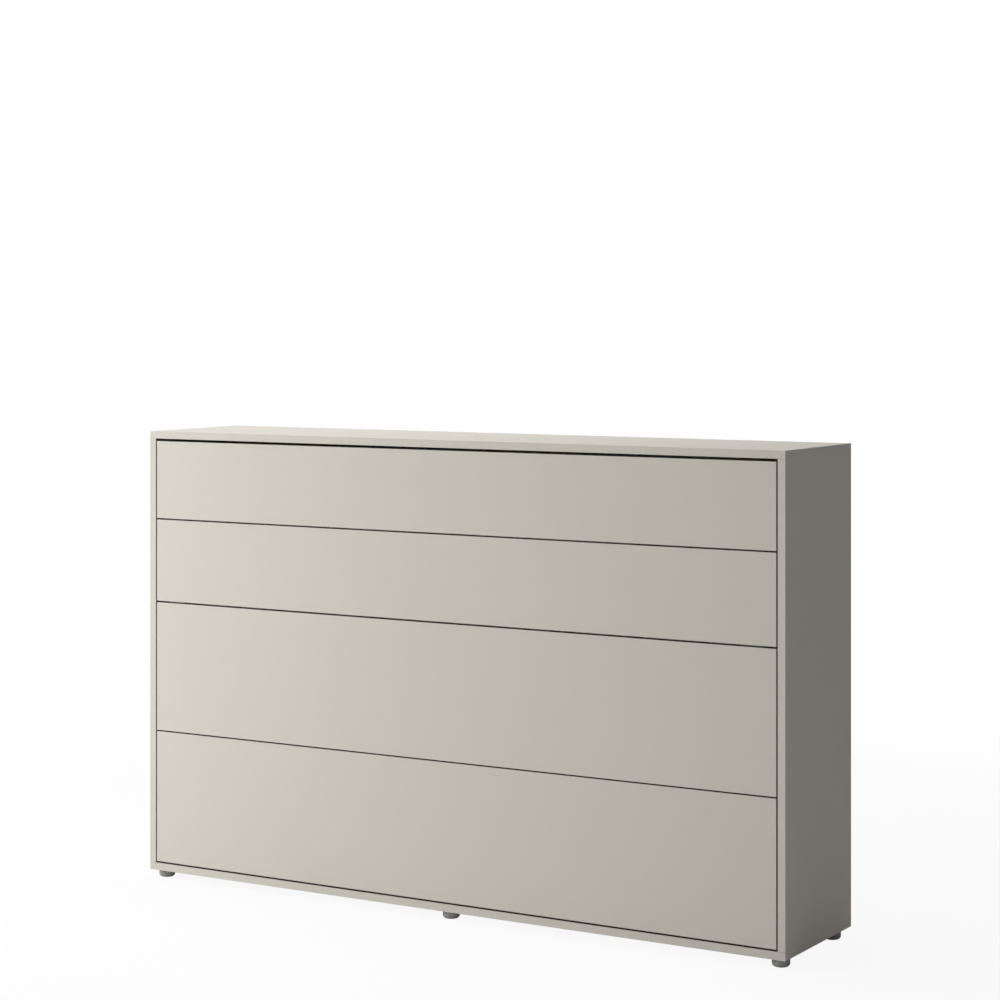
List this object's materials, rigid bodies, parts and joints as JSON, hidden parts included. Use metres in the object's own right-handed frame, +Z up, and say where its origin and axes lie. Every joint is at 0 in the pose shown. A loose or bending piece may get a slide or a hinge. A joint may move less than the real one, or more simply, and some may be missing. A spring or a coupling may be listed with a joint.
{
  "type": "cabinet bed",
  "caption": "Low wide cabinet whose plain front folds down into a single bed along the wall, on a fold-out leg panel and levelling feet.",
  "frame": {"origin": "on the floor under the middle of the closed cabinet", "axes": "+Z up, front faces -Y, +X to the right seen from the front, wall side at +Y"},
  "size_m": [2.118, 0.438, 1.364],
  "materials": {
    "laminate": "satin",
    "inner_board": "satin",
    "back_sheet": "satin",
    "slat_wood": "satin",
    "dowel_wood": "matte",
    "ticking": "matte",
    "webbing": "matte",
    "powder_coat": "satin",
    "nylon": "matte",
    "foot_plastic": "matte",
    "buffer_rubber": "matte",
    "bright_steel": "polished",
    "zinc_steel": "satin"
  },
  "bodies": {
    "cabinet": {"back_rail_lower": "inner_board", "back_rail_upper": "inner_board", "back_sheet_left": "back_sheet", "back_sheet_right": "back_sheet", "back_stile": "inner_board", "bottom_panel": "laminate", "cam_fittings": "zinc_steel", "carcass_dowels": "dowel_wood", "carcass_screws": "zinc_steel", "foot_sleeves": "nylon", "pivot_clips": "zinc_steel", "pivot_pins": "zinc_steel", "pivot_plate_screws": "zinc_steel", "pivot_plates": "powder_coat", "side_panel_left": "laminate", "side_panel_right": "laminate", "stop_brackets": "powder_coat", "stop_buffers": "buffer_rubber", "strut_studs_upper": "zinc_steel", "top_panel": "laminate"},
    "bed": {"bed_end_plate_left": "powder_coat", "bed_end_plate_right": "powder_coat", "bed_rail_catch": "powder_coat", "bed_rail_hinge": "powder_coat", "bed_rail_joint": "powder_coat", "bed_rail_lower": "powder_coat", "bed_rail_upper": "powder_coat", "bed_screws": "zinc_steel", "box_board_lower": "inner_board", "box_board_upper": "inner_board", "catch_magnets": "powder_coat", "frame_bolts": "zinc_steel", "front_panel_bottom": "laminate", "front_panel_middle": "laminate", "front_panel_top": "laminate", "leg_hinge_bed_leaves": "zinc_steel", "leg_hinge_pins": "zinc_steel", "mattress": "ticking", "mattress_straps": "webbing", "pivot_brackets": "powder_coat", "pivot_bushes": "nylon", "slat_holders": "nylon", "slats": "slat_wood", "stay_guides": "nylon", "strut_studs_lower": "zinc_steel"},
    "leg": {"leg_panel": "laminate", "leg_hinge_leg_leaves": "zinc_steel", "quadrant_stays": "zinc_steel", "leg_glides": "nylon", "leg_strike_plates": "zinc_steel"},
    "strut_cylinder_left": {"strut_tube_left": "powder_coat"},
    "strut_piston_left": {"strut_rod_left": "bright_steel"},
    "strut_cylinder_right": {"strut_tube_right": "powder_coat"},
    "strut_piston_right": {"strut_rod_right": "bright_steel"},
    "level_foot_front_left": {"foot_front_left": "foot_plastic"},
    "level_foot_front_middle": {"foot_front_middle": "foot_plastic"},
    "level_foot_front_right": {"foot_front_right": "foot_plastic"},
    "level_foot_rear_left": {"foot_rear_left": "foot_plastic"},
    "level_foot_rear_middle": {"foot_rear_middle": "foot_plastic"},
    "level_foot_rear_right": {"foot_rear_right": "foot_plastic"}
  },
  "joints": [
    {"name": "bed_fold", "type": "hinge", "parent": "cabinet", "child": "bed", "pos_m": [0, -0.181, 0.29], "axis": [1, 0, 0], "range_deg": [0, 90]},
    {"name": "leg_fold", "type": "hinge", "parent": "bed", "child": "leg", "pos_m": [0, -0.2174, 1.0975], "axis": [-1, 0, 0], "range_deg": [0, 90]},
    {"name": "strut_swing_left", "type": "hinge", "parent": "cabinet", "child": "strut_cylinder_left", "pos_m": [-1.02375, -0.181, 0.69], "axis": [1, 0, 0], "range_deg": [0, 12.87]},
    {"name": "strut_stroke_left", "type": "slide", "parent": "strut_cylinder_left", "child": "strut_piston_left", "axis": [0, -0.0798, 0.9968], "range_m": [0, 0.13835]},
    {"name": "strut_swing_right", "type": "hinge", "parent": "cabinet", "child": "strut_cylinder_right", "pos_m": [1.02375, -0.181, 0.69], "axis": [1, 0, 0], "range_deg": [0, 12.87]},
    {"name": "strut_stroke_right", "type": "slide", "parent": "strut_cylinder_right", "child": "strut_piston_right", "axis": [0, -0.0798, 0.9968], "range_m": [0, 0.13835]},
    {"name": "level_front_left", "type": "slide", "parent": "cabinet", "child": "level_foot_front_left", "axis": [0, 0, -1], "range_m": [0, 0.012]},
    {"name": "level_front_middle", "type": "slide", "parent": "cabinet", "child": "level_foot_front_middle", "axis": [0, 0, -1], "range_m": [0, 0.012]},
    {"name": "level_front_right", "type": "slide", "parent": "cabinet", "child": "level_foot_front_right", "axis": [0, 0, -1], "range_m": [0, 0.012]},
    {"name": "level_rear_left", "type": "slide", "parent": "cabinet", "child": "level_foot_rear_left", "axis": [0, 0, -1], "range_m": [0, 0.012]},
    {"name": "level_rear_middle", "type": "slide", "parent": "cabinet", "child": "level_foot_rear_middle", "axis": [0, 0, -1], "range_m": [0, 0.012]},
    {"name": "level_rear_right", "type": "slide", "parent": "cabinet", "child": "level_foot_rear_right", "axis": [0, 0, -1], "range_m": [0, 0.012]}
  ],
  "couplings": [
    {"joint": "strut_swing_left", "follows": "bed_fold", "ratio": 0.14293},
    {"joint": "strut_stroke_left", "follows": "bed_fold", "m_per_rad": 0.087949},
    {"joint": "strut_swing_right", "follows": "bed_fold", "ratio": 0.14293},
    {"joint": "strut_stroke_right", "follows": "bed_fold", "m_per_rad": 0.087949}
  ]
}
